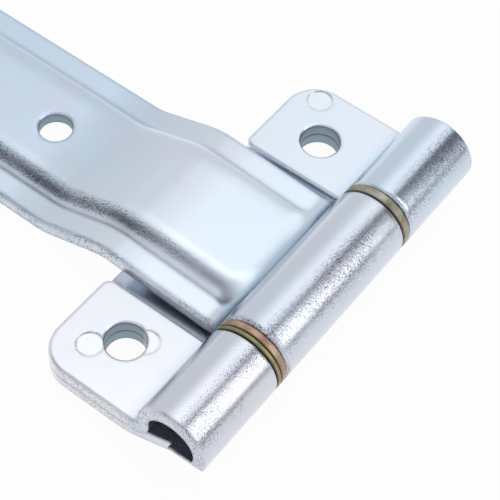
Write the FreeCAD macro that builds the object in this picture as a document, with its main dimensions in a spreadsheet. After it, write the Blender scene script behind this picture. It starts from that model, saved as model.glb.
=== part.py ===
# Strap hinge for a vehicle body door: a folded butt plate, a pin, washers and a long pressed strap.
# Millimetres. The origin is midway between the two fixing holes of the butt, on its mounting face.
# +X runs from the tail of the strap to the pin, +Y along the pin, +Z away from the door.

import FreeCAD, Part

import math
import os
import Sketcher

# Sizes

SIZES = [
    ("sheet", 3.5, "thickness of the sheet that the butt and the strap are pressed from"),
    ("pin_width", 14.0, "diameter of the pin"),
    ("pin_length", 98.0, "length of the pin, which stops short of both ends of the butt"),
    ("pin_bevel", 0.9, "bevel on each end of the pin"),
    ("pin_play", 0.05, "clearance round the pin inside each knuckle"),
    ("pin_place", 28.0, "from the line of the butt holes to the pin axis"),
    ("butt_length", 118.0, "length of the butt along the pin"),
    ("butt_reach", 16.2, "from the line of the butt holes to the outer edge of the leaves"),
    ("fold_gap", 0.25, "air between the two layers of each leaf"),
    ("foot_bend", 1.5, "concave radius where each knuckle meets its upper leaf"),
    ("web_end", 12.0, "from the pin axis to the edge of the base between the ears"),
    ("leaf_corner", 9.7, "radius of the outer corners of the leaves"),
    ("inner_corner", 2.6, "radius of the upper leaf's corner beside the strap"),
    ("web_corner", 2.0, "radius at each end of the base edge between the ears"),
    ("butt_hole", 11.0, "diameter of the butt's fixing holes"),
    ("hole_inset", 0.375, "how far each butt hole is from midway across its leaf, to the strap"),
    ("dent_width", 7.2, "diameter of the round press marks in the upper leaves"),
    ("dent_depth", 0.2, "depth of the press marks"),
    ("tear_reach", 15.0, "from the pin axis back to where the worn edge of the base begins"),
    ("tear_place", 2.0, "from the pin axis back to where the wear reaches the roll"),
    ("tear_depth", 2.8, "how far the worn edge is back from the end of the butt"),
    ("tear_rise", 7.2, "height over the base up to which the end of the roll is worn"),
    ("butt_rim", 0.6, "bevel of the butt's edges, on its outer face"),
    ("hole_rim", 0.45, "bevel of the upper rims of the butt's fixing holes"),
    ("strap_rim", 0.6, "bevel of the strap's edges, on its outer face"),
    ("punch_rim", 0.4, "bevel of the upper rims of the strap's fixing holes"),
    ("side_gap", 0.08, "end play between the strap, the washers and the ears"),
    ("near_washer", 2.2, "thickness of the washer on the near side, next to the strap"),
    ("near_shim", 1.4, "thickness of the second near washer, next to the ear"),
    ("far_washer", 2.7, "thickness of the washer on the far side of the strap"),
    ("washer_width", 21.0, "outer diameter of the washers"),
    ("washer_play", 0.2, "clearance round the pin inside each washer"),
    ("washer_bevel", 0.3, "bevel on the rims of the washers"),
    ("strap_width", 51.5, "width of the strap"),
    ("strap_length", 250.0, "from the pin axis to the tail end of the strap"),
    ("tail_corner", 12.0, "radius of the corners of the strap's tail"),
    ("web_tilt", 3.3, "degrees that the raised part of the strap slopes down to the pin"),
    ("web_drop", 2.58, "from the pin axis square down to the top of the raised part"),
    ("set_place", 50.5, "from the pin axis to the upper corner of the set in the strap"),
    ("set_angle", 19.8, "degrees that the strap slopes in its set"),
    ("set_low_bend", 15.0, "radius of the lower bend of the set, on the top face"),
    ("set_high_bend", 20.0, "radius of the upper bend of the set, on the top face"),
    ("valley_bend", 6.0, "radius where the strap turns up on to its knuckle"),
    ("roll_end", 125.0, "degrees below level at which the strap's roll ends under the pin"),
    ("crown_rise", 3.0, "height of the pressed crown over the edges of the strap"),
    ("crown_flat", 11.0, "half of the width of the crown's level top"),
    ("crown_round", 11.1, "radius of the crown's sides, on the top face"),
    ("crown_stop", 17.4, "from the pin axis to where the crown's sides start to spread"),
    ("crown_spread", 5.0, "length over which the crown's sides spread"),
    ("crown_neck", 4.0, "half of the width of the crown's level top beside the knuckle"),
    ("crown_edge", 5.0, "from the foot of the spread sides to each edge of the strap"),
    ("crown_tail", 18.0, "from the tail end to where the crown starts to run out"),
    ("strap_hole", 9.5, "diameter of the strap's fixing holes"),
    ("strap_holes", 3, "number of holes along the strap, evenly spaced"),
    ("hole_place", 88.0, "from the pin axis to the first strap hole"),
    ("hole_margin", 32.0, "from the last strap hole to the tail end"),
]


class Size:
    """A length or an angle that carries its number and the expression it comes from."""

    def __init__(self, number, text):
        self.number = float(number)
        self.text = text

    def join(self, other, number, sign):
        return Size(number, "(" + self.text + " " + sign + " " + other.text + ")")

    def __add__(self, other):
        other = plain(other)
        return self.join(other, self.number + other.number, "+")

    def __sub__(self, other):
        other = plain(other)
        return self.join(other, self.number - other.number, "-")

    def __mul__(self, other):
        other = plain(other)
        return self.join(other, self.number * other.number, "*")

    def __truediv__(self, other):
        other = plain(other)
        return self.join(other, self.number / other.number, "/")

    def __neg__(self):
        return Size(-self.number, "(0 - " + self.text + ")")

    def __radd__(self, other):
        return plain(other) + self

    def __rsub__(self, other):
        return plain(other) - self

    def __rmul__(self, other):
        return plain(other) * self


def plain(value):
    if isinstance(value, Size):
        return value
    return Size(value, "(" + repr(float(value)) + ")")


def sine(angle):
    return Size(math.sin(math.radians(angle.number)), "sin(" + angle.text + ")")


def cosine(angle):
    return Size(math.cos(math.radians(angle.number)), "cos(" + angle.text + ")")


def tangent(angle):
    return Size(math.tan(math.radians(angle.number)), "tan(" + angle.text + ")")


def root(value):
    return Size(math.sqrt(value.number), "sqrt(" + value.text + ")")


doc = FreeCAD.newDocument("StrapHinge")
sheet = doc.addObject("Spreadsheet::Sheet", "Sizes")
given = {}
for row, (word, number, meaning) in enumerate(SIZES, start=1):
    sheet.set("A" + str(row), word)
    sheet.set("B" + str(row), str(number))
    sheet.setAlias("B" + str(row), word)
    sheet.set("C" + str(row), meaning)
    given[word] = Size(number, "Sizes." + word)
doc.recompute()


def of(word):
    return given[word]


# Sketches

ORIGIN = -1


def attach(body, sketch, role, height=None):
    """Attach a sketch to one of its own body's planes, at a height along the plane's normal."""
    plane = [item for item in body.Origin.OriginFeatures if item.Role == role][0]
    sketch.AttachmentSupport = [(plane, "")]
    sketch.MapMode = "FlatFace"
    if height is not None:
        sketch.AttachmentOffset = FreeCAD.Placement(
            FreeCAD.Vector(0, 0, height.number), FreeCAD.Rotation())
        sketch.setExpression("AttachmentOffset.Base.z", height.text)


def fix_point(sketch, geometry, end, x, y, name):
    """Hold one end of a curve at a place that follows the sizes."""
    sketch.addConstraint(Sketcher.Constraint("DistanceX", ORIGIN, 1, geometry, end, x.number))
    sketch.renameConstraint(sketch.ConstraintCount - 1, name + "_x")
    sketch.setExpression("Constraints." + name + "_x", x.text)
    sketch.addConstraint(Sketcher.Constraint("DistanceY", ORIGIN, 1, geometry, end, y.number))
    sketch.renameConstraint(sketch.ConstraintCount - 1, name + "_y")
    sketch.setExpression("Constraints." + name + "_y", y.text)


def fix_radius(sketch, geometry, radius, name):
    sketch.addConstraint(Sketcher.Constraint("Radius", geometry, radius.number))
    sketch.renameConstraint(sketch.ConstraintCount - 1, name)
    sketch.setExpression("Constraints." + name, radius.text)


def arc_between(start, end, radius, turn):
    """The arc from start to end: turn 1 runs anticlockwise, -1 clockwise; 2 and -2 take the long way."""
    x0, y0 = start
    x1, y1 = end
    chord = math.hypot(x1 - x0, y1 - y0)
    rise = math.sqrt(max(radius * radius - chord * chord / 4.0, 0.0))
    side = 1.0 if turn in (1, -2) else -1.0
    cx = (x0 + x1) / 2.0 - side * rise * (y1 - y0) / chord
    cy = (y0 + y1) / 2.0 + side * rise * (x1 - x0) / chord
    first = math.atan2(y0 - cy, x0 - cx)
    last = math.atan2(y1 - cy, x1 - cx)
    if turn < 0:
        first, last = last, first
    while last <= first:
        last += 2.0 * math.pi
    circle = Part.Circle(FreeCAD.Vector(cx, cy, 0), FreeCAD.Vector(0, 0, 1), radius)
    return Part.ArcOfCircle(circle, first, last)


def draw(sketch, points, closed=True):
    """Draw lines and arcs through named points: (name, x, y) or (name, x, y, radius, turn) of the
    arc that leaves the point."""
    count = len(points) if closed else len(points) - 1
    places = [(plain(point[1]), plain(point[2])) for point in points]
    ends = []
    for index in range(count):
        start = places[index]
        end = places[(index + 1) % len(points)]
        first = (start[0].number, start[1].number)
        last = (end[0].number, end[1].number)
        if len(points[index]) == 3:
            line = Part.LineSegment(FreeCAD.Vector(*first, 0), FreeCAD.Vector(*last, 0))
            geometry = sketch.addGeometry(line, False)
            ends.append((geometry, 1, 2))
        else:
            radius = plain(points[index][3])
            turn = points[index][4]
            arc = arc_between(first, last, radius.number, turn)
            geometry = sketch.addGeometry(arc, False)
            ends.append((geometry, 1, 2) if turn > 0 else (geometry, 2, 1))
    for index in range(count):
        following = ends[(index + 1) % count]
        if closed or index + 1 < count:
            sketch.addConstraint(Sketcher.Constraint(
                "Coincident", ends[index][0], ends[index][2], following[0], following[1]))
    for index in range(count):
        name = points[index][0]
        fix_point(sketch, ends[index][0], ends[index][1], places[index][0], places[index][1], name)
        if len(points[index]) > 3:
            fix_radius(sketch, ends[index][0], plain(points[index][3]), name + "_radius")
    if not closed:
        fix_point(sketch, ends[-1][0], ends[-1][2], places[-1][0], places[-1][1], points[-1][0])


def outline(body, name, role, points, height=None, closed=True):
    sketch = body.newObject("Sketcher::SketchObject", name)
    attach(body, sketch, role, height)
    draw(sketch, points, closed)
    doc.recompute()
    return sketch


def circles(body, name, role, places, radius, height=None):
    """A sketch of equal circles, each (name, x, y)."""
    sketch = body.newObject("Sketcher::SketchObject", name)
    attach(body, sketch, role, height)
    for word, x, y in places:
        x = plain(x)
        y = plain(y)
        circle = Part.Circle(
            FreeCAD.Vector(x.number, y.number, 0), FreeCAD.Vector(0, 0, 1), radius.number)
        geometry = sketch.addGeometry(circle, False)
        fix_point(sketch, geometry, 3, x, y, word)
        fix_radius(sketch, geometry, radius, word + "_radius")
    doc.recompute()
    return sketch


# Features


def new_body(name):
    body = doc.addObject("PartDesign::Body", name)
    body.Label = name
    return body


def pad(body, name, sketch, length, other=None, both=False, back=False):
    """Pad a sketch: both spreads the length about its plane, other adds a length behind it."""
    feature = body.newObject("PartDesign::Pad", name)
    feature.Profile = sketch
    feature.Length = length.number
    feature.setExpression("Length", length.text)
    if both:
        feature.SideType = "Symmetric"
    if other is not None:
        feature.SideType = "Two sides"
        feature.Length2 = other.number
        feature.setExpression("Length2", other.text)
    feature.Reversed = back
    doc.recompute()
    return feature


def pocket(body, name, sketch, length=None, other=None, back=False):
    """Cut a sketch out of its body, and see that metal went."""
    before = body.Shape.Volume
    feature = body.newObject("PartDesign::Pocket", name)
    feature.Profile = sketch
    if length is None:
        feature.Type = "ThroughAll"
    else:
        feature.Length = length.number
        feature.setExpression("Length", length.text)
    if other is not None:
        feature.SideType = "Two sides"
        feature.Length2 = other.number
        feature.setExpression("Length2", other.text)
    feature.Reversed = back
    doc.recompute()
    if not body.Shape.Volume < before - 0.01:
        raise RuntimeError(name + " removed nothing")
    return feature


def edges_near(shape, places, reach=0.05):
    """The names of the edges whose middles lie at the given places."""
    names = []
    for place in places:
        x, y, z = [plain(value).number for value in place]
        target = FreeCAD.Vector(x, y, z)
        found = []
        for number, edge in enumerate(shape.Edges, start=1):
            middle = edge.valueAt((edge.FirstParameter + edge.LastParameter) / 2.0)
            if middle.distanceToPoint(target) < reach:
                found.append("Edge" + str(number))
        if len(found) != 1:
            raise RuntimeError("no single edge at " + str(target))
        names.extend(found)
    return names


def fillet(body, name, places, radius):
    """Round the edges whose middles lie at the given places."""
    base = body.Tip
    feature = body.newObject("PartDesign::Fillet", name)
    feature.Base = (base, edges_near(base.Shape, places))
    feature.Radius = radius.number
    feature.setExpression("Radius", radius.text)
    doc.recompute()
    return feature


def bevel(body, name, edges, size):
    """Bevel the named edges."""
    base = body.Tip
    feature = body.newObject("PartDesign::Chamfer", name)
    feature.Base = (base, edges)
    feature.Size = size.number
    feature.setExpression("Size", size.text)
    doc.recompute()
    return feature


def round_edges(shape, radius):
    """The names of the full circles of one radius."""
    names = []
    for number, edge in enumerate(shape.Edges, start=1):
        curve = edge.Curve
        if isinstance(curve, Part.Circle) and abs(curve.Radius - radius.number) < 0.001:
            names.append("Edge" + str(number))
    return names


def boolean(kind, name, base, tool):
    """Cut or fuse two objects."""
    feature = doc.addObject("Part::" + kind, name)
    feature.Base = base
    feature.Tool = tool
    doc.recompute()
    return feature


def join(name, pieces):
    feature = doc.addObject("Part::MultiFuse", name)
    feature.Shapes = pieces
    doc.recompute()
    return feature


# Places shared by the pieces

half_sheet = of("sheet") / 2.0
bore = of("pin_width") / 2.0 + of("pin_play")
knuckle = bore + of("sheet")
pin_x = of("pin_place")
pin_z = knuckle
butt_half = of("butt_length") / 2.0
strap_half = of("strap_width") / 2.0
near_ear = strap_half + of("near_washer") + of("near_shim") + 3.0 * of("side_gap")
far_ear = strap_half + of("far_washer") + 2.0 * of("side_gap")
leaf_under = of("sheet") + of("fold_gap")
leaf_top = leaf_under + of("sheet")
leaf_edge = -of("butt_reach")
hole_y = (butt_half + strap_half) / 2.0 - of("hole_inset")

# Butt plate: one sheet rolled round the pin and folded back on itself, with two ears

butt = new_body("butt_plate")
foot_x = pin_x - knuckle - of("foot_bend")
foot_z = leaf_top + of("foot_bend")
side = outline(butt, "ButtSide", "XZ_Plane", [
    ("base_edge_under", leaf_edge, plain(0)),
    ("under_pin", pin_x, plain(0), knuckle, 2),
    ("knuckle_back", pin_x - knuckle, pin_z),
    ("foot_high", pin_x - knuckle, foot_z, of("foot_bend"), -1),
    ("foot_low", foot_x, leaf_top),
    ("leaf_edge_top", leaf_edge, leaf_top),
    ("leaf_edge_under", leaf_edge, leaf_under),
    ("fold_low", foot_x, leaf_under, of("foot_bend") + of("sheet"), 1),
    ("fold_high", pin_x - bore, foot_z),
    ("bore_back", pin_x - bore, pin_z, bore, -2),
    ("bore_under", pin_x, of("sheet")),
    ("base_edge_top", leaf_edge, of("sheet")),
])
pad(butt, "ButtSheet", side, of("butt_length"), both=True)

# The upper leaf and the knuckle are cut away where the strap works
room = outline(butt, "StrapRoomPlan", "XY_Plane", [
    ("room_edge_near", leaf_edge - knuckle, -near_ear),
    ("room_end_near", pin_x + 2.0 * knuckle, -near_ear),
    ("room_end_far", pin_x + 2.0 * knuckle, far_ear),
    ("room_edge_far", leaf_edge - knuckle, far_ear),
], height=of("sheet"))
pocket(butt, "StrapRoom", room, back=True)
web_x = pin_x - of("web_end")
turn = of("web_corner")
slot = outline(butt, "RollRoomPlan", "XY_Plane", [
    ("slot_near_bend", web_x, -near_ear + turn, turn, 1),
    ("slot_near", web_x + turn, -near_ear),
    ("slot_end_near", pin_x + 2.0 * knuckle, -near_ear),
    ("slot_end_far", pin_x + 2.0 * knuckle, far_ear),
    ("slot_far", web_x + turn, far_ear, turn, 1),
    ("slot_far_bend", web_x, far_ear - turn),
], height=of("sheet") + of("sheet"))
pocket(butt, "RollRoom", slot)

# Corners of the leaves, seen from above
leaf_middle = (leaf_under + leaf_top) / 2.0
fillet(butt, "LeafCorners", [
    (leaf_edge, -butt_half, half_sheet),
    (leaf_edge, butt_half, half_sheet),
    (leaf_edge, -butt_half, leaf_middle),
    (leaf_edge, butt_half, leaf_middle),
], of("leaf_corner"))
fillet(butt, "InnerCorners", [
    (leaf_edge, -near_ear, leaf_middle),
    (leaf_edge, far_ear, leaf_middle),
], of("inner_corner"))

# Fixing holes through both layers
holes = circles(butt, "ButtHolePlan", "XY_Plane", [
    ("near_hole", plain(0), -hole_y),
    ("far_hole", plain(0), hole_y),
], of("butt_hole") / 2.0, height=leaf_top + of("sheet"))
pocket(butt, "ButtHoles", holes)
bevel(butt, "ButtHoleRims", edges_near(butt.Tip.Shape, [
    (of("butt_hole") / -2.0, -hole_y, leaf_top),
    (of("butt_hole") / -2.0, hole_y, leaf_top),
]), of("hole_rim"))

# The edges of the outer face are drawn in all the way round, as the sheet was blanked from there
near_leaf_y = (of("leaf_corner") - of("inner_corner") - butt_half - near_ear) / 2.0
bevel(butt, "ButtRim", edges_near(butt.Tip.Shape, [
    (leaf_edge, near_leaf_y, leaf_top),
]), of("butt_rim"))

# Shallow round press marks in the upper leaves
dents = circles(butt, "PressMarkPlan", "XY_Plane", [
    ("far_mark", plain(-8.6), butt_half - 5.2),
    ("near_mark", plain(-6.4), -hole_y - 6.3),
    ("hole_mark", plain(4.2), -hole_y + 3.0),
], of("dent_width") / 2.0, height=leaf_top)
pocket(butt, "PressMarks", dents, of("dent_depth"))

# Worn edge under the near knuckle, where the base and the foot of the roll are eaten back
tear_start = pin_x - of("tear_reach")
tear_turn = pin_x - of("tear_place")
tear_y = -butt_half + of("tear_depth")
tear_out = -butt_half - of("sheet")
worn = outline(butt, "WornEdgePlan", "XY_Plane", [
    ("worn_start", tear_start, -butt_half),
    ("worn_out_start", tear_start, tear_out),
    ("worn_out_stop", tear_turn, tear_out),
    ("worn_deep", tear_turn, tear_y),
], height=of("sheet") + of("fold_gap") / 2.0)
pocket(butt, "WornEdge", worn)
bent = outline(butt, "WornRollSide", "YZ_Plane", [
    ("bent_foot", tear_y, plain(0)),
    ("bent_low", tear_y, -of("sheet")),
    ("bent_out_low", tear_out, -of("sheet")),
    ("bent_out", tear_out, of("tear_rise")),
    ("bent_top", -butt_half, of("tear_rise")),
], height=tear_turn)
pocket(butt, "WornRoll", bent, back=True)

# Pin

pin = new_body("hinge_pin")
pin_plan = circles(pin, "PinPlan", "XZ_Plane", [("pin", pin_x, pin_z)], of("pin_width") / 2.0)
pad(pin, "PinBar", pin_plan, of("pin_length"), both=True)
bevel(pin, "PinEnds", round_edges(pin.Tip.Shape, of("pin_width") / 2.0), of("pin_bevel"))

# Washers


def washer(name, start, thickness):
    """A washer on the pin that starts at a place along Y and is so thick."""
    body = new_body(name)
    ring = body.newObject("Sketcher::SketchObject", name + "_plan")
    attach(body, ring, "XZ_Plane", -(start + thickness))
    inner = of("pin_width") / 2.0 + of("washer_play")
    outer = of("washer_width") / 2.0
    for word, radius in (("rim", outer), ("eye", inner)):
        circle = Part.Circle(
            FreeCAD.Vector(pin_x.number, pin_z.number, 0), FreeCAD.Vector(0, 0, 1), radius.number)
        geometry = ring.addGeometry(circle, False)
        fix_point(ring, geometry, 3, pin_x, pin_z, word)
        fix_radius(ring, geometry, radius, word + "_radius")
    doc.recompute()
    pad(body, name + "_disc", ring, thickness, back=False)
    bevel(body, name + "_rims", round_edges(body.Tip.Shape, outer), of("washer_bevel"))
    return body


gap = of("side_gap")
near_start = -strap_half - gap - of("near_washer")
shim_start = near_start - gap - of("near_shim")
near_washer = washer("washer_near", near_start, of("near_washer"))
near_shim = washer("washer_near_thin", shim_start, of("near_shim"))
far_washer = washer("washer_far", strap_half + gap, of("far_washer"))

# Strap: the line of its top face, from the tail to the roll round the pin

tilt = of("web_tilt")
slope = of("set_angle")
thick = of("sheet")
along_x = cosine(tilt)
along_z = -sine(tilt)
square_x = sine(tilt)
square_z = cosine(tilt)
drop = of("web_drop")
tail_x = pin_x - of("strap_length")

# Upper and lower corners of the set, before they are rounded
high_x = pin_x - of("set_place")
high_z = pin_z - drop / cosine(tilt) + of("set_place") * tangent(tilt)
low_x = high_x - (high_z - thick) / tangent(slope)
low_run = of("set_low_bend") * tangent(slope / 2.0)
high_run = of("set_high_bend") * tangent((slope + tilt) / 2.0)
low_start_x = low_x - low_run
low_end_x = low_x + low_run * cosine(slope)
low_end_z = thick + low_run * sine(slope)
high_start_x = high_x - high_run * cosine(slope)
high_start_z = high_z - high_run * sine(slope)
high_end_x = high_x + high_run * along_x
high_end_z = high_z + high_run * along_z

# Centre of the bend that turns the strap up on to its knuckle
valley = of("valley_bend")
reach = knuckle + valley
lift = valley - drop
back = root(reach * reach - lift * lift)
bend_x = lift * square_x - back * along_x
bend_z = lift * square_z - back * along_z
valley_x = pin_x + bend_x - valley * square_x
valley_z = pin_z + bend_z - valley * square_z
under_x = pin_x + bend_x - (valley + thick) * square_x
under_z = pin_z + bend_z - (valley + thick) * square_z
roll = of("roll_end")

strap_sheet = new_body("StrapSheet")
strap_side = outline(strap_sheet, "StrapSide", "XZ_Plane", [
    ("tail_top", tail_x, thick),
    ("set_foot", low_start_x, thick, of("set_low_bend"), 1),
    ("set_foot_end", low_end_x, low_end_z),
    ("set_head", high_start_x, high_start_z, of("set_high_bend"), -1),
    ("set_head_end", high_end_x, high_end_z),
    ("valley", valley_x, valley_z, valley, 1),
    ("over_pin", pin_x + bend_x * knuckle / reach, pin_z + bend_z * knuckle / reach, knuckle, -2),
    ("roll_end", pin_x + knuckle * cosine(roll), pin_z - knuckle * sine(roll)),
    ("roll_end_bore", pin_x + bore * cosine(roll), pin_z - bore * sine(roll), bore, 2),
    ("over_pin_bore", pin_x + bend_x * bore / reach, pin_z + bend_z * bore / reach,
     valley + thick, -1),
    ("valley_under", under_x, under_z),
    ("set_head_end_under", high_end_x - thick * square_x, high_end_z - thick * square_z,
     of("set_high_bend") - thick, 1),
    ("set_head_under", high_start_x + thick * sine(slope), high_start_z - thick * cosine(slope)),
    ("set_foot_end_under", low_end_x + thick * sine(slope), low_end_z - thick * cosine(slope),
     of("set_low_bend") + thick, -1),
    ("set_foot_under", low_start_x, plain(0)),
    ("tail_under", tail_x, plain(0)),
])
pad(strap_sheet, "StrapBlank", strap_side, of("strap_width"), both=True)
fillet(strap_sheet, "TailCorners", [
    (tail_x, -strap_half, half_sheet),
    (tail_x, strap_half, half_sheet),
], of("tail_corner"))
bevel(strap_sheet, "StrapRim", edges_near(strap_sheet.Tip.Shape, [
    (tail_x, plain(0), thick),
]), of("strap_rim"))

# Crown: a wall of one curve round a level top, swept along the strap and run out at both ends

stop = of("crown_stop")
stop_x = pin_x - drop * square_x - stop * along_x
stop_z = pin_z - drop * square_z - stop * along_z
crown_x = tail_x + of("crown_tail")


def crown_section(body, name, flat, radius, top, level, floor, base_z, height):
    """A section of a crown: a level top of half width flat, and sides of one curve."""
    drop = top - radius
    wall = root(radius * radius - (level - drop) * (level - drop))
    return outline(body, name, "YZ_Plane", [
        ("floor_near", -(flat + wall), base_z + floor),
        ("floor_far", flat + wall, base_z + floor),
        ("foot_far", flat + wall, base_z + level, radius, 1),
        ("top_far", flat, base_z + top),
        ("top_near", -flat, base_z + top, radius, 1),
        ("foot_near", -(flat + wall), base_z + level),
    ], height=height)


def crown(name, under, floor, reach):
    """A crown, or with under at the sheet's thickness the hollow below it. Floor is the level that
    its body reaches down to, and reach how far its spread part runs on towards the knuckle."""
    flat = of("crown_flat")
    top = of("crown_rise") - under
    radius = of("crown_round") - under
    level = -under
    drop = top - radius
    wall = root(radius * radius - (level - drop) * (level - drop))

    # The run along the strap
    body = new_body(name + "Run")
    path = outline(body, name + "Path", "XZ_Plane", [
        ("path_start", crown_x, thick),
        ("path_foot", low_start_x, thick, of("set_low_bend"), 1),
        ("path_foot_end", low_end_x, low_end_z),
        ("path_head", high_start_x, high_start_z, of("set_high_bend"), -1),
        ("path_head_end", high_end_x, high_end_z),
        ("path_end", stop_x, stop_z),
    ], closed=False)
    section = crown_section(
        body, name + "Section", flat, radius, top, level, floor, thick, crown_x)
    sweep = body.newObject("PartDesign::AdditivePipe", name + "Sweep")
    sweep.Profile = section
    sweep.Spine = (path, [])
    doc.recompute()

    # The head, where the sides spread and run on into the knuckle
    head = new_body(name + "Head")
    spread = of("crown_spread")
    foot = strap_half - of("crown_edge") - of("crown_neck")
    rise = of("crown_rise")
    spread_radius = (foot * foot + rise * rise) / (2.0 * rise) - under
    nothing = plain(0)
    first = crown_section(
        head, name + "HeadStart", flat, radius, top, level, floor, nothing, nothing)
    second = crown_section(
        head, name + "HeadSpread", of("crown_neck"), spread_radius, top, level, floor,
        nothing, spread)
    last = crown_section(
        head, name + "HeadEnd", of("crown_neck"), spread_radius, top, level, floor,
        nothing, reach)
    loft = head.newObject("PartDesign::AdditiveLoft", name + "HeadLoft")
    loft.Profile = first
    loft.Sections = [second, last]
    loft.Ruled = True
    doc.recompute()
    place(head, stop_x, stop_z, FreeCAD.Vector(0, 1, 0), tilt)

    # The rounded tail end
    tail = new_body(name + "Tail")
    profile = [
        ("wall_axis_low", plain(0), floor),
        ("wall_low", wall, floor),
        ("wall_foot", wall, level, radius, 1),
        ("wall_top", plain(0), top),
    ]
    middle = outline(tail, name + "TailWall", "XZ_Plane", profile)
    pad(tail, name + "TailMiddle", middle, 2.0 * flat, both=True)
    for corner, height, back in (("Near", flat, True), ("Far", -flat, False)):
        turned = outline(tail, name + "Tail" + corner, "XZ_Plane", profile, height=height)
        sector = tail.newObject("PartDesign::Revolution", name + "Tail" + corner + "Turn")
        sector.Profile = turned
        sector.ReferenceAxis = (turned, ["V_Axis"])
        sector.Angle = 90.0
        sector.Reversed = back
        doc.recompute()
    place(tail, crown_x, thick, FreeCAD.Vector(0, 0, 1), plain(180.0))
    return [body, head, tail]


def place(body, x, z, axis, angle):
    """Put a finished body in its place."""
    body.Placement = FreeCAD.Placement(
        FreeCAD.Vector(x.number, 0, z.number), FreeCAD.Rotation(axis, angle.number))
    body.setExpression("Placement.Base.x", x.text)
    body.setExpression("Placement.Base.z", z.text)
    if angle is tilt:
        body.setExpression("Placement.Rotation.Angle", angle.text)
    doc.recompute()


raised = crown("Crown", plain(0), -half_sheet, stop - knuckle + thick / 10.0)
hollow = crown("Hollow", thick, -1.5 * thick, of("crown_spread") + thick / 10.0)
pressed = join("PressedStrap", [strap_sheet] + raised)
relief = join("CrownHollow", hollow)
shaped = boolean("Cut", "ShapedStrap", pressed, relief)

# Holes along the middle of the strap
punches = new_body("StrapPunches")
hole_x = pin_x - of("hole_place")
punch_r = of("strap_hole") / 2.0
punch_z = thick + of("crown_rise")
lip = of("punch_rim")
punch_plan = outline(punches, "PunchSide", "XZ_Plane", [
    ("punch_foot", plain(0), -thick),
    ("punch_edge", punch_r, -thick),
    ("punch_lip", punch_r, punch_z - lip),
    ("punch_lip_out", punch_r + lip, punch_z),
    ("punch_out", punch_r + lip, punch_z + thick),
    ("punch_top", plain(0), punch_z + thick),
])
punch = punches.newObject("PartDesign::Revolution", "Punch")
punch.Profile = punch_plan
punch.ReferenceAxis = (punch_plan, ["V_Axis"])
punch.Angle = 360.0
punches.Placement.Base = FreeCAD.Vector(hole_x.number, 0, 0)
punches.setExpression("Placement.Base.x", hole_x.text)
doc.recompute()
row = punches.newObject("PartDesign::LinearPattern", "PunchRow")
row.Originals = [punches.Tip]
row.Direction = (punch_plan, ["H_Axis"])
row.Reversed = True
hole_run = of("strap_length") - of("hole_place") - of("hole_margin")
row.Length = hole_run.number
row.setExpression("Length", hole_run.text)
row.Occurrences = int(of("strap_holes").number)
row.setExpression("Occurrences", of("strap_holes").text)
punches.Tip = row
doc.recompute()
strap = boolean("Cut", "strap", shaped, punches)
strap.Label = "strap"

# Check every object, then write one file for each piece

doc.recompute()
for item in doc.Objects:
    if "Invalid" in item.State or "Error" in item.State:
        raise RuntimeError(item.Name + " failed: " + str(item.State))

pieces = [butt, pin, near_washer, near_shim, far_washer, strap]
for piece in pieces:
    shape = piece.Shape
    if shape.isNull() or not shape.isValid() or len(shape.Solids) != 1:
        raise RuntimeError(piece.Label + " is not one valid solid")

os.makedirs("parts", exist_ok=True)
for piece in pieces:
    piece.Shape.exportStep(os.path.join("parts", piece.Label + ".step"))
    box = piece.Shape.BoundBox
    print(piece.Label, "volume", round(piece.Shape.Volume, 1), "box",
          [round(value, 2) for value in (box.XMin, box.XMax, box.YMin, box.YMax, box.ZMin, box.ZMax)])
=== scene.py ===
import math
from types import SimpleNamespace

import bpy
from mathutils import Matrix, Vector

bl_info = {
    "name": "Strap Hinge",
    "version": (1, 0, 0),
    "blender": (4, 5, 0),
    "location": "3D View > Sidebar > Strap Hinge",
    "description": "Finishes of a zinc plated strap hinge and the studio it is shown in",
    "category": "Object",
}

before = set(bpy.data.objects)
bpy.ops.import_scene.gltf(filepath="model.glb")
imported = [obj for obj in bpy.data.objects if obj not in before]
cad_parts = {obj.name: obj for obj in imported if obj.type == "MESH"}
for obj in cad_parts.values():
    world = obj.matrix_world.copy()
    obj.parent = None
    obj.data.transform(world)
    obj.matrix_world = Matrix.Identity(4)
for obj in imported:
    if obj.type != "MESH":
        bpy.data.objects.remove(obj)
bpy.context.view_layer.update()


# Shader nodes

class Sum:
    """One shader value or colour that can be used in Python sums."""

    def __init__(self, tree, socket):
        self.tree = tree
        self.socket = socket

    def __add__(self, other):
        return self.tree.math("ADD", self, other)

    def __radd__(self, other):
        return self.tree.math("ADD", other, self)

    def __sub__(self, other):
        return self.tree.math("SUBTRACT", self, other)

    def __rsub__(self, other):
        return self.tree.math("SUBTRACT", other, self)

    def __mul__(self, other):
        return self.tree.math("MULTIPLY", self, other)

    def __rmul__(self, other):
        return self.tree.math("MULTIPLY", other, self)

    def __truediv__(self, other):
        return self.tree.math("DIVIDE", self, other)

    def __rtruediv__(self, other):
        return self.tree.math("DIVIDE", other, self)

    def power(self, other):
        return self.tree.math("POWER", self, other)

    def lowest(self, other):
        """This or the other, whichever is lower."""
        return self.tree.math("MINIMUM", self, other)

    def highest(self, other):
        """This or the other, whichever is higher."""
        return self.tree.math("MAXIMUM", self, other)

    def size(self):
        """The value without its sign."""
        return self.tree.math("ABSOLUTE", self)

    def output(self, name):
        """Another output of the node that this value comes from."""
        return Sum(self.tree, self.socket.node.outputs[name])


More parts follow.
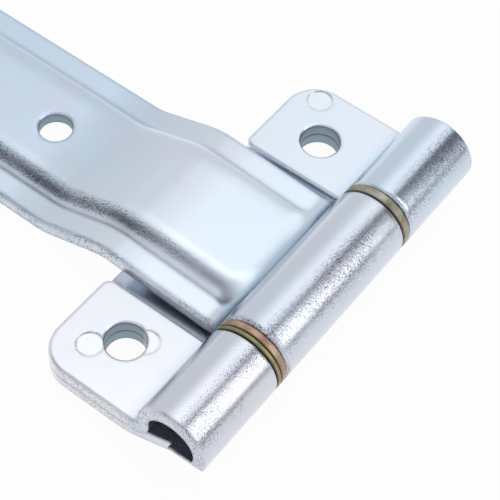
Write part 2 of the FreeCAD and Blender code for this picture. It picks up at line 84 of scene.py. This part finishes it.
class Tree:
    """A shader that is built up node by node."""

    def __init__(self, holder):
        holder.use_nodes = True
        self.holder = holder
        self.node_tree = holder.node_tree
        self.node_tree.nodes.clear()

    def node(self, kind, settings=None, sockets=None, out=0):
        """Any node: its settings, then the values or links of its sockets."""
        node = self.node_tree.nodes.new(kind)
        for name, value in (settings or {}).items():
            setattr(node, name, value)
        for name, value in (sockets or {}).items():
            if isinstance(value, Sum):
                self.node_tree.links.new(value.socket, node.inputs[name])
            else:
                node.inputs[name].default_value = value
        return Sum(self, node.outputs[out]) if node.outputs else None

    def math(self, operation, *values):
        """A Math node on numbers or links."""
        sockets = dict(enumerate(values))
        return self.node("ShaderNodeMath", {"operation": operation}, sockets)

    def place(self):
        """The place on a piece, which is its place in the hinge's own frame, in metres."""
        return self.node("ShaderNodeTexCoord", out="Object")

    def parts(self, place):
        """The three parts of a place or a direction."""
        x = self.node("ShaderNodeSeparateXYZ", sockets={0: place})
        return x, x.output(1), x.output(2)

    def moved(self, place, location=(0.0, 0.0, 0.0), scale=(1.0, 1.0, 1.0)):
        """A place that is shifted and stretched."""
        return self.node("ShaderNodeMapping", sockets={
            "Vector": place, "Location": location, "Scale": scale})

    def noise(self, place, scale, detail, roughness, distortion=0.0):
        """Smooth noise from 0 to 1."""
        return self.node("ShaderNodeTexNoise", sockets={
            "Vector": place, "Scale": scale, "Detail": detail, "Roughness": roughness,
            "Distortion": distortion})

    def between(self, value, low, high):
        """0 below low, 1 above high, smooth between them."""
        return self.node("ShaderNodeMapRange", {"interpolation_type": "SMOOTHSTEP"}, {
            "Value": value, "From Min": low, "From Max": high})

    def band(self, value, rise, fall):
        """1 from the end of the rise to the start of the fall, and 0 outside both."""
        return self.between(value, *rise) * (1.0 - self.between(value, *fall))

    def mix(self, share, first, second):
        """Two colours mixed by a share."""
        return self.node("ShaderNodeMix", {"data_type": "RGBA"}, {
            0: share, 6: first, 7: second}, out=2)

    def mix_shader(self, share, first, second):
        return self.node("ShaderNodeMixShader", sockets={0: share, 1: first, 2: second})

    def bump(self, height, strength, distance, normal=None):
        """A normal that follows a height."""
        sockets = {"Height": height, "Strength": strength, "Distance": distance}
        if normal:
            sockets["Normal"] = normal
        return self.node("ShaderNodeBump", sockets=sockets)

    def metal(self, base, metallic, rough, normal):
        return self.node("ShaderNodeBsdfPrincipled", sockets={
            "Base Color": base, "Metallic": metallic, "Roughness": rough, "Normal": normal})

    def finish(self, shader, kind="ShaderNodeOutputMaterial"):
        """Close the shader, and give back the material or the world that holds it."""
        self.node(kind, sockets={"Surface": shader})
        return self.holder


def finish_of(name):
    """The empty shader of a new material."""
    return Tree(bpy.data.materials.new(name))


def colour(values):
    """A display colour as the linear colour that a shader takes."""
    linear = [v / 12.92 if v <= 0.04045 else ((v + 0.055) / 1.055) ** 2.4 for v in values]
    return (*linear, 1.0)


# Places that the finishes follow, in metres. A pair is where a soft step starts and ends, and
# two pairs are a band's rise and its fall.

# Some of these places are where painted shade goes: dark flecks on the strap's crown and near
# edge and in a stripe round the knuckle, and a darker blue in the crease beside it.
ALONG_STRAP = SimpleNamespace(
    low_bend=-0.043,
    high_bend=-0.0225,
    pale=((-0.050, -0.020), (0.011, 0.017)),
    shaded_fade=(-0.050, -0.010),
    shaded_end=(0.002, 0.010),
    crown_rise=0.0125,
    crown_rise_run=0.005)
ACROSS_STRAP = SimpleNamespace(
    shaded_side=((-0.0181, -0.0166), (-0.0138, -0.0123)),
    shaded_edge=(-0.0250, -0.0238))
ON_BUTT = SimpleNamespace(
    leaf_edge=(-0.0160, -0.0155),
    leaf_foot=(0.012, 0.017),
    end=(0.0584, 0.0589),
    far_end=0.0306,
    far_end_run=0.0018,
    far_end_side=(0.028, 0.032),
    far_half=(0.0, 0.02))
KNUCKLE = SimpleNamespace(
    rise=(0.012, 0.019),
    valley_shade=((0.0140, 0.0160), (0.0185, 0.0205)),
    valley_top=(0.0120, 0.0145),
    shaded_stripe=((0.0285, 0.0305), (0.0365, 0.0385)),
    shaded_stripe_foot=(0.012, 0.013))
LILAC_TO_BLUE = (-0.045, 0.020)
MARK_RADIUS = 0.0036
MARK_RIM = 0.0006
HOLE_RIM = 0.0002
CIRCLE_EDGE = 0.0001

# Heights and depths of the relief, in metres. BEND_REACH is how far a bend of the set is
# spread, and BEND_TOP rounds the top of its hump.

BEND_HEIGHT = 0.0009
BEND_REACH = 0.012
BEND_TOP = 0.003
CROWN_HEIGHT = 0.0009
FAR_END_DROP = 0.00035
SAND_DEPTH = 0.00007
TURNING_DEPTH = 0.00006

# Noise: scale in cells to a metre, detail, roughness, distortion

BROAD_PATCHES = (16.0, 3.0, 0.55, 0.6)
CLOUDS = (55.0, 4.0, 0.6, 0.3)
DULL_SPOTS = (130.0, 3.0, 0.6, 0.4)
SAND = (2100.0, 1.0, 0.5)
FINE_SAND = (3400.0, 1.0, 0.5)
TARNISH = (160.0, 3.0, 0.6, 0.5)
TURNING = (2200.0, 2.0, 0.6)

# How the noise is cut into patches, flecks and spots

BLUE_CUT = (0.38, 0.62)
LILAC_CUT = (0.46, 0.66)
FLECK_CUT = (0.50, 0.64)
FLECK_CLOUD_CUT = (0.25, 0.6)
RIM_CUT = (0.46, 0.58)
RIM_SAND_CUT = (0.42, 0.68)
DULL_CUT = (0.45, 0.75)
TARNISH_CUT = (0.38, 0.66)
PIT_CUT = (0.52, 0.66)

# How strong each effect is. LILAC_WANDER is how far the lilac's edge wanders, in metres.

LILAC_WANDER = 0.02
BLUE_PATCH = 0.25
LILAC_PATCH = 0.5
STRAP_PALE = 0.2
BUTT_PALE = 0.3
# The next three set the painted shade flecks: how they fade along the strap, and how strong they
# are on the butt and in the knuckle's stripe.
SHADE_FADE = 0.5
SHADE_BUTT = 0.7
SHADE_STRIPE = 0.75
WALL_TINT = 0.9
MARK_TINT = 0.2
RIM_TINT = 0.45
ROUGHER = SimpleNamespace(dull=0.06, sand=0.06, wall=0.3)
GRAIN = SimpleNamespace(flat=0.2, knuckle=0.8, shaded=3.0, most=2.2, fine=0.4, sand=0.6)
ZINC_METALLIC = 0.95
EDGE_SAMPLES = 6

WHITE = (1.0, 1.0, 1.0, 1.0)


# Finishes

def distance(x, y, middle):
    """How far a place is from a middle in plan."""
    across = x - middle[0]
    along = y - middle[1]
    return (across * across + along * along).power(0.5)


def disc(f, x, y, middle, radius):
    """1 inside a circle in plan, and 0 outside it."""
    away = distance(x, y, middle)
    return 1.0 - f.between(away, radius - CIRCLE_EDGE, radius + CIRCLE_EDGE)


def ring(f, x, y, middle, radius, width):
    """1 on a thin ring in plan, and 0 away from it."""
    away = (distance(x, y, middle) - radius).size()
    return 1.0 - f.between(away, 0.2 * width, width)


def strap_pale(f, x):
    """How pale the strap is: most on its flat beside the knuckle."""
    return STRAP_PALE * f.band(x, *ALONG_STRAP.pale)


def butt_pale(f, x):
    """How pale the butt is: most on its flat leaves."""
    return BUTT_PALE * (1.0 - f.between(x, *ON_BUTT.leaf_foot))


def strap_shaded(f, x, y):
    """Where painted shade goes on the strap as dark flecks: the near side of its crown and its
    near edge.
    """
    side = f.band(y, *ACROSS_STRAP.shaded_side)
    side = side * (1.0 - SHADE_FADE * f.between(x, *ALONG_STRAP.shaded_fade))
    side = side * (1.0 - f.between(x, *ALONG_STRAP.shaded_end))
    return side.highest(1.0 - f.between(y, *ACROSS_STRAP.shaded_edge))


def butt_shaded(f, x, y):
    """Where painted shade goes on the butt as dark flecks: its ends and the edges of its leaves.
    """
    end = f.between(y.size(), *ON_BUTT.end)
    edge = 1.0 - f.between(x, *ON_BUTT.leaf_edge)
    return SHADE_BUTT * end.highest(edge)


def bend_hump(x, middle):
    """A hump of height 1 that spreads a bend of the set on both sides of its middle."""
    away = x - middle
    soft = (away * away + BEND_TOP ** 2).power(0.5) - BEND_TOP
    hump = (1.0 - soft / BEND_REACH).highest(0.0)
    return hump * hump


def strap_relief(f, x, y):
    """The soft bends of the set, and the soft rise of the crown's top into the knuckle."""
    rise = (x - ALONG_STRAP.crown_rise) / ALONG_STRAP.crown_rise_run
    rise = rise.highest(0.0).lowest(1.0)
    bends = bend_hump(x, ALONG_STRAP.low_bend) - bend_hump(x, ALONG_STRAP.high_bend)
    return rise * rise * CROWN_HEIGHT + bends * BEND_HEIGHT


def butt_relief(f, x, y):
    """The turned-down end of the far knuckle beside its washer."""
    end = ((ON_BUTT.far_end - y) / ON_BUTT.far_end_run).highest(0.0).lowest(1.0)
    end = end * end * f.between(x, *ON_BUTT.far_end_side)
    return end * -FAR_END_DROP * f.between(y, *ON_BUTT.far_half)


# The two pressed sheets. lilac is how much of the blue goes at the near end, knuckle_loss how
# much of it goes on the knuckle, valley how strongly painted shade darkens and blues the crease
# beside the knuckle, and softening is a share of the softness that the user sets. pale, rubbed
# and relief are the functions above; rubbed says where painted shade goes as dark flecks.

BUTT = SimpleNamespace(
    material="butt_zinc", lilac=1.0, knuckle_loss=0.2, valley_shade=0.12, softening=0.5,
    hole_radius=0.0055, holes=((0.0, -0.042), (0.0, 0.042)),
    marks=((-0.0086, 0.0538), (-0.0064, -0.0483), (0.0042, -0.0390)),
    pale=butt_pale, shaded=butt_shaded, relief=butt_relief)
STRAP = SimpleNamespace(
    material="strap_zinc", lilac=0.25, knuckle_loss=0.6, valley_shade=0.36, softening=1.0,
    hole_radius=0.00475, holes=((-0.060, 0.0), (-0.125, 0.0), (-0.190, 0.0)), marks=(),
    pale=strap_pale, shaded=strap_shaded, relief=strap_relief)


def zinc_finish(sheet, sizes):
    """Bright zinc plate over pressed sheet: blue and lilac patches, a sand-like grain, dull walls
    in the punched holes and thin broken rims round the press marks, with painted shade as dark
    flecks on the crown's near wall, along edges and in a stripe round the knuckle, and as a
    darker blue in the crease beside the knuckle."""
    f = finish_of(sheet.material)
    place = f.place()
    x, y, z = f.parts(place)
    broad = f.noise(f.moved(place, scale=(1.0, 1.0, 1.6)), *BROAD_PATCHES)
    cloud = f.noise(f.moved(place, location=(0.3, 0.1, 0.2)), *CLOUDS)
    fine = f.noise(place, *FINE_SAND)
    sand = f.noise(place, *SAND)
    knuckle = f.between(x, *KNUCKLE.rise)

    # Blue, lilac and pale plate
    far = f.between(y + LILAC_WANDER * (broad - 0.5), *LILAC_TO_BLUE)
    blue = far * sheet.lilac + (1.0 - sheet.lilac)
    blue = blue * (1.0 - BLUE_PATCH + BLUE_PATCH * f.between(broad, *BLUE_CUT))
    blue = blue * (1.0 - knuckle * sheet.knuckle_loss)
    base = f.mix(blue, colour(sizes.pale), colour(sizes.blue))
    base = f.mix(f.between(cloud, *LILAC_CUT) * LILAC_PATCH, base, colour(sizes.lilac))
    base = f.mix(sheet.pale(f, x), base, WHITE)
    # Painted shade: the crease beside the knuckle is darkened and blued.
    valley_shade = f.band(x, *KNUCKLE.valley_shade) * (1.0 - f.between(z, *KNUCKLE.valley_top))
    base = f.mix(valley_shade * sheet.valley_shade, base, colour(sizes.valley_shade))

    # Dark flecks: painted shade on the crown's near wall, along edges and in a stripe round the
    # knuckle
    shaded = sheet.shaded(f, x, y)
    stripe = f.band(x, *KNUCKLE.shaded_stripe) * f.between(z, *KNUCKLE.shaded_stripe_foot)
    fleck = f.between(fine, *FLECK_CUT) * f.between(cloud, *FLECK_CLOUD_CUT)
    fleck = fleck * shaded.highest(stripe * SHADE_STRIPE)
    base = f.mix(fleck, base, colour(sizes.fleck))

    # Hole walls and press marks
    wall = sum(disc(f, x, y, middle, sheet.hole_radius + HOLE_RIM) for middle in sheet.holes)
    base = f.mix(wall * WALL_TINT, base, colour(sizes.wall))
    for middle in sheet.marks:
        base = f.mix(disc(f, x, y, middle, MARK_RADIUS) * MARK_TINT, base, WHITE)
        rim = ring(f, x, y, middle, MARK_RADIUS, MARK_RIM) * f.between(cloud, *RIM_CUT)
        rim = rim * f.between(sand, *RIM_SAND_CUT) * RIM_TINT
        base = f.mix(rim, base, colour(sizes.fleck))

    # Gloss and grain
    dull = f.between(f.noise(place, *DULL_SPOTS), *DULL_CUT)
    rough = sizes.roughness + ROUGHER.dull * dull
    rough = rough + ROUGHER.sand * (sand - 0.5) + ROUGHER.wall * wall
    radius = sizes.softness * sheet.softening
    normal = f.node("ShaderNodeBevel", {"samples": EDGE_SAMPLES}, {"Radius": radius})
    normal = f.bump(sheet.relief(f, x, y), 1.0, 1.0, normal)
    share = GRAIN.flat + GRAIN.knuckle * knuckle + GRAIN.shaded * shaded
    grain = (fine * GRAIN.fine + sand * GRAIN.sand) * share.lowest(GRAIN.most)
    normal = f.bump(grain, sizes.grain, SAND_DEPTH, normal)
    return f.finish(f.metal(base, ZINC_METALLIC, rough, normal))


# The turned pieces: node, name of the slot and material, property of the main colour, the colour
# it drifts to, the colour of its pits and of the painted shade at its rims, roughness, and where
# its ends are along the pin in metres. TURNED_LOOK is how strong each effect is.

BROWN = (0.24, 0.21, 0.18)
TURNED = (
    ("washer_near", "copper_washer", "copper", (0.76, 0.68, 0.60), BROWN, 0.30,
     (-0.02803, -0.02583)),
    ("washer_near_thin", "thin_washer", "olive", (0.66, 0.64, 0.46), BROWN, 0.32,
     (-0.02951, -0.02811)),
    ("washer_far", "bronze_washer", "grey", (0.60, 0.58, 0.48), BROWN, 0.34,
     (0.02583, 0.02853)),
    ("hinge_pin", "pin_steel", "dark", (0.28, 0.33, 0.38), (0.14, 0.19, 0.24), 0.42,
     (-0.049, 0.049)),
)
TURNED_RIM = 0.00055
TURNED_LOOK = SimpleNamespace(rim=0.85, pits=0.45, metallic=0.85, bump=0.7, rougher=0.1)


def turned_finish(name, main, second, pits_and_shade, roughness, ends):
    """Turned metal with a drifting tint, dark pits, and painted shade as dark rims at both ends.
    """
    f = finish_of(name)
    place = f.place()
    y = f.parts(place)[1]
    tint = f.between(f.noise(place, *TARNISH), *TARNISH_CUT)
    grain = f.noise(place, *TURNING)
    base = f.mix(tint, colour(main), colour(second))
    middle = (ends[0] + ends[1]) / 2.0
    half = (ends[1] - ends[0]) / 2.0
    # The rims at both ends are painted shade where the piece meets the parts beside it; the pits
    # are the metal's own.
    rim = f.between((y - middle).size(), half - TURNED_RIM, half)
    pits = f.between(grain, *PIT_CUT)
    dark = (rim * TURNED_LOOK.rim).highest(pits * TURNED_LOOK.pits)
    base = f.mix(dark, base, colour(pits_and_shade))
    rough = roughness + TURNED_LOOK.rougher * (grain - 0.5)
    normal = f.bump(grain, TURNED_LOOK.bump, TURNING_DEPTH)
    return f.finish(f.metal(base, TURNED_LOOK.metallic, rough, normal))


# Sizes and colours that a user would change

class ZincSizes(bpy.types.PropertyGroup):
    """Colours and grain of the zinc plate"""
    pale: bpy.props.FloatVectorProperty(
        name="Pale", description="Main colour of the plate", subtype="COLOR",
        default=(0.84, 0.85, 0.885), min=0.0, max=1.0)
    blue: bpy.props.FloatVectorProperty(
        name="Blue", description="Colour of its bluish patches", subtype="COLOR",
        default=(0.80, 0.868, 0.93), min=0.0, max=1.0)
    lilac: bpy.props.FloatVectorProperty(
        name="Lilac", description="Colour of its lilac patches", subtype="COLOR",
        default=(0.83, 0.84, 0.90), min=0.0, max=1.0)
    # Colour of the painted shade in the crease beside the knuckles.
    valley_shade: bpy.props.FloatVectorProperty(
        name="Valley", description="Colour of the valley beside the knuckles",
        subtype="COLOR", default=(0.50, 0.70, 0.82), min=0.0, max=1.0)
    wall: bpy.props.FloatVectorProperty(
        name="Hole walls", description="Colour of the punched walls",
        subtype="COLOR", default=(0.52, 0.60, 0.65), min=0.0, max=1.0)
    # The flecks are painted shade; the same colour darkens the broken rims round the press marks.
    fleck: bpy.props.FloatVectorProperty(
        name="Flecks", description="Colour of the dark flecks where the plate is rubbed",
        subtype="COLOR", default=(0.20, 0.20, 0.32), min=0.0, max=1.0)
    roughness: bpy.props.FloatProperty(
        name="Roughness", description="Roughness of the plate where it is brightest",
        default=0.19, min=0.0, max=1.0)
    grain: bpy.props.FloatProperty(
        name="Grain", description="Strength of the sand-like grain", default=0.5,
        min=0.0, max=1.0)
    softness: bpy.props.FloatProperty(
        name="Softness", description="How far the edges and creases are softened",
        subtype="DISTANCE", unit="LENGTH", default=0.0022, min=0.0, precision=4)


class TurnedSizes(bpy.types.PropertyGroup):
    """Colours of the washers and the pin"""
    copper: bpy.props.FloatVectorProperty(
        name="Copper", description="Colour of the coppery washer", subtype="COLOR",
        default=(0.70, 0.55, 0.48), min=0.0, max=1.0)
    olive: bpy.props.FloatVectorProperty(
        name="Olive", description="Colour of the thin yellow-green washer", subtype="COLOR",
        default=(0.56, 0.57, 0.42), min=0.0, max=1.0)
    grey: bpy.props.FloatVectorProperty(
        name="Grey", description="Colour of the far washer", subtype="COLOR",
        default=(0.72, 0.70, 0.66), min=0.0, max=1.0)
    dark: bpy.props.FloatVectorProperty(
        name="Pin", description="Colour of the pin", subtype="COLOR",
        default=(0.34, 0.37, 0.41), min=0.0, max=1.0)


class StudioSizes(bpy.types.PropertyGroup):
    """Camera and room"""
    lens: bpy.props.FloatProperty(
        name="Lens", description="Focal length of the camera in millimetres", default=118.43)
    azimuth: bpy.props.FloatProperty(
        name="Azimuth", description="Turn of the camera about the hinge",
        subtype="ANGLE", default=math.radians(33.6304))
    elevation: bpy.props.FloatProperty(
        name="Elevation", description="Height angle of the camera",
        subtype="ANGLE", default=math.radians(54.3131))
    roll: bpy.props.FloatProperty(
        name="Roll", description="Roll of the camera about its line of sight",
        subtype="ANGLE", default=math.radians(4.4190))
    position: bpy.props.FloatVectorProperty(
        name="Position", description="Place of the camera", subtype="TRANSLATION",
        unit="LENGTH", default=(0.146966, -0.209754, 0.358317))
    world: bpy.props.FloatProperty(
        name="Room", description="Brightness of the room", default=0.82, min=0.0)
    key: bpy.props.FloatProperty(
        name="Key", description="How much brighter the room is over the back", default=0.36,
        min=0.0)
    panel: bpy.props.FloatProperty(
        name="Panel", description="Brightness of the panel at the right", default=1.75,
        min=0.0)


# Pieces

def dress(node, material):
    """Give one piece of the hinge its finish."""
    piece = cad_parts[node]
    piece.data.materials.clear()
    piece.data.materials.append(material)


class OBJECT_OT_hinge_sheet(bpy.types.Operator):
    """Finish the butt plate and the strap in zinc plate"""
    bl_idname = "hinge.sheet"
    bl_label = "Butt plate and strap"

    def execute(self, context):
        sizes = context.scene.hinge_zinc
        dress("butt_plate", zinc_finish(BUTT, sizes))
        dress("strap", zinc_finish(STRAP, sizes))
        return {"FINISHED"}


class OBJECT_OT_hinge_washers(bpy.types.Operator):
    """Finish the pin and the washers"""
    bl_idname = "hinge.washers"
    bl_label = "Pin and washers"

    def execute(self, context):
        sizes = context.scene.hinge_washers
        for node, slot, main, second, pits_and_shade, roughness, ends in TURNED:
            main = getattr(sizes, main)
            dress(node, turned_finish(slot, main, second, pits_and_shade, roughness, ends))
        return {"FINISHED"}


# Studio

FLOOR_HALF = 2.5
FLOOR_DROP = 0.0002
FLOOR_GLOW = 0.955
PAPER = (0.9, 0.9, 0.9, 1.0)
SENSOR_WIDTH = 36.0
NEAREST = 0.01
FARTHEST = 50.0
COOL = (0.975, 0.99, 1.0, 1.0)
WARM = (1.0, 0.99, 0.965, 1.0)
DUSK = (0.92, 0.90, 1.0, 1.0)

# The room's parts as the hinge sees them. Swings are in degrees from overhead, and positive to
# the right, and panel_edge counts from the end of the gap's opening. deepest is where the depth
# stops growing. The others are parts of a direction of length 1.

ROOM = SimpleNamespace(
    back=(0.05, 0.3),
    back_start=0.41,
    back_run=0.16,
    deepest=1.3,
    back_near=(0.385, 0.45),
    key_swing=((-45.0, -8.0), (4.0, 20.0)),
    gap_swing=(13.0, 22.0),
    panel_edge=(-7.0, 5.0),
    edge_swing=(69.0, 79.0),
    front=(-0.22, 0.06),
    front_height=(0.45, 0.6),
    left=(-0.60, -0.10),
    foot=(-0.66, -0.44),
    foot_height=(0.2, 0.45))

# How bright its parts are. The gap, its opening in degrees and the panel change with the depth
# towards the back, by a start, a slope and a bend; the panel starts where the user sets it.

LIGHT = SimpleNamespace(
    key=1.08,
    key_near=1.05,
    gap=(0.26, -0.11, 0.0),
    opening=(25.0, 12.0, 36.0),
    panel=(2.4, -2.6),
    edge=0.55,
    front=0.42,
    front_left=0.36,
    foot=0.85)


def white_floor():
    """White to the camera and to reflections, and it still takes a soft shadow."""
    f = finish_of("white_floor")
    camera = f.node("ShaderNodeLightPath", out="Is Camera Ray")
    seen = camera.highest(camera.output("Is Glossy Ray"))
    seen = seen.highest(camera.output("Is Transmission Ray"))
    paper = f.node("ShaderNodeBsdfDiffuse", sockets={"Color": PAPER})
    glow = f.node("ShaderNodeEmission", sockets={"Color": WHITE, "Strength": 1.0})
    return f.finish(f.mix_shader(seen * FLOOR_GLOW, paper, glow))


def lamp(name, direction, away, size, glow):
    """A soft square lamp that faces the hinge; glow is what a mirror shows of it."""
    data = bpy.data.lights.new(name, "AREA")
    data.shape = "RECTANGLE"
    data.size = size
    data.size_y = size
    data.energy = glow * math.pi * data.size * data.size_y
    data.color = WHITE[:3]
    thing = bpy.data.objects.new(name, data)
    aim = Vector(direction).normalized()
    thing.location = aim * away
    thing.rotation_euler = aim.to_track_quat("Z", "Y").to_euler()
    bpy.context.scene.collection.objects.link(thing)


def curve(depth, start, slope, bend):
    """A number that changes with the depth towards the back."""
    return start + slope * depth + bend * depth * depth


def toward(light, level, share):
    """A light that is moved towards a level by a share."""
    return light + share * (level - light)


def studio_room(sizes):
    """A soft room. Seen from the hinge it is brighter over the back. At the right it has a dark
    gap, which is wider towards the back, then a bright panel and a dull edge. Over the front
    there is a dark patch, darkest at the left, with a light foot, which shows in the pressed
    walls."""
    f = Tree(bpy.data.worlds.new("room"))
    x, y, z = f.parts(f.node("ShaderNodeTexCoord", out="Generated"))
    swing = f.math("ARCTAN2", x, z) * (180.0 / math.pi)
    back = f.between(y, *ROOM.back)
    depth = ((y - ROOM.back_start) / ROOM.back_run).highest(0.0).lowest(ROOM.deepest)

    # Over the back
    key = f.band(swing, *ROOM.key_swing)
    near = 1.0 - f.between(y, *ROOM.back_near)
    light = sizes.world + sizes.key * key * back * (LIGHT.key + LIGHT.key_near * near)

    # The gap, the panel and the edge at the right
    gap = f.between(swing, *ROOM.gap_swing)
    panel = f.between(swing - curve(depth, *LIGHT.opening), *ROOM.panel_edge)
    edge = f.between(swing, *ROOM.edge_swing)
    light = toward(light, curve(depth, *LIGHT.gap), back * gap)
    light = toward(light, curve(depth, sizes.panel, *LIGHT.panel), back * gap * panel)
    light = toward(light, LIGHT.edge, back * edge)

    # The dark patch over the front and its light foot
    front = (1.0 - f.between(y, *ROOM.front)) * f.between(z, *ROOM.front_height)
    left = 1.0 - f.between(x, *ROOM.left)
    foot = (1.0 - f.between(y, *ROOM.foot)) * f.between(z, *ROOM.foot_height)
    light = toward(light, LIGHT.front - LIGHT.front_left * left, front)
    light = toward(light, LIGHT.foot, foot)

    tint = f.mix(gap * panel, COOL, WARM)
    dusk = (gap * (1.0 - panel)).highest(front * (1.0 - foot))
    tint = f.mix(dusk, tint, DUSK)
    room = f.node("ShaderNodeBackground", sockets={"Color": tint, "Strength": light})
    white = f.node("ShaderNodeBackground", sockets={"Color": WHITE, "Strength": 1.0})
    seen = f.node("ShaderNodeLightPath", out="Is Camera Ray")
    return f.finish(f.mix_shader(seen, room, white), "ShaderNodeOutputWorld")


def studio_camera(sizes):
    """The camera at the photograph's angle."""
    azimuth = sizes.azimuth
    elevation = sizes.elevation
    back = Vector((math.sin(azimuth) * math.cos(elevation),
                   -math.cos(azimuth) * math.cos(elevation),
                   math.sin(elevation)))
    right = Vector((math.cos(azimuth), math.sin(azimuth), 0.0))
    up = back.cross(right)
    across = right * math.cos(sizes.roll) + up * math.sin(sizes.roll)
    upward = up * math.cos(sizes.roll) - right * math.sin(sizes.roll)
    data = bpy.data.cameras.new("camera")
    data.sensor_width = SENSOR_WIDTH
    data.lens = sizes.lens
    data.clip_start = NEAREST
    data.clip_end = FARTHEST
    camera = bpy.data.objects.new("camera", data)
    turn = Matrix((across, upward, back)).transposed().to_4x4()
    camera.matrix_world = Matrix.Translation(Vector(sizes.position)) @ turn
    return camera


class OBJECT_OT_hinge_studio(bpy.types.Operator):
    """Make the floor, the room, the lamp and the camera"""
    bl_idname = "hinge.studio"
    bl_label = "Studio"

    def execute(self, context):
        scene = context.scene
        sizes = scene.hinge_studio
        scene.view_settings.view_transform = "Standard"

        half = FLOOR_HALF
        mesh = bpy.data.meshes.new("floor")
        mesh.from_pydata([(-half, -half, 0), (half, -half, 0), (half, half, 0), (-half, half, 0)],
                         [], [(0, 1, 2, 3)])
        mesh.materials.append(white_floor())
        floor = bpy.data.objects.new("floor", mesh)
        floor.location = (0.0, 0.0, -FLOOR_DROP)
        scene.collection.objects.link(floor)

        scene.world = studio_room(sizes)
        lamp("lamp_top", direction=(-0.3, -0.5, 0.8), away=1.4, size=0.3, glow=0.3)

        camera = studio_camera(sizes)
        scene.collection.objects.link(camera)
        scene.camera = camera
        return {"FINISHED"}


class VIEW3D_PT_hinge(bpy.types.Panel):
    """Strap hinge pieces and studio"""
    bl_label = "Strap Hinge"
    bl_idname = "VIEW3D_PT_hinge"
    bl_space_type = "VIEW_3D"
    bl_region_type = "UI"
    bl_category = "Strap Hinge"

    def draw(self, context):
        layout = self.layout
        scene = context.scene
        for group in (scene.hinge_zinc, scene.hinge_washers, scene.hinge_studio):
            box = layout.box()
            for name in group.__annotations__:
                box.prop(group, name)
        for operator in OPERATORS:
            layout.operator(operator.bl_idname)


GROUPS = (ZincSizes, TurnedSizes, StudioSizes)
OPERATORS = (OBJECT_OT_hinge_sheet, OBJECT_OT_hinge_washers, OBJECT_OT_hinge_studio)
CLASSES = GROUPS + OPERATORS + (VIEW3D_PT_hinge,)


def register():
    for item in CLASSES:
        bpy.utils.register_class(item)
    bpy.types.Scene.hinge_zinc = bpy.props.PointerProperty(type=ZincSizes)
    bpy.types.Scene.hinge_washers = bpy.props.PointerProperty(type=TurnedSizes)
    bpy.types.Scene.hinge_studio = bpy.props.PointerProperty(type=StudioSizes)


def unregister():
    del bpy.types.Scene.hinge_studio
    del bpy.types.Scene.hinge_washers
    del bpy.types.Scene.hinge_zinc
    for item in reversed(CLASSES):
        bpy.utils.unregister_class(item)


def main():
    """Finish the pieces and make the studio."""
    register()
    bpy.ops.hinge.sheet()
    bpy.ops.hinge.washers()
    bpy.ops.hinge.studio()
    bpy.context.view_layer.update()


if __name__ == "__main__":
    main()
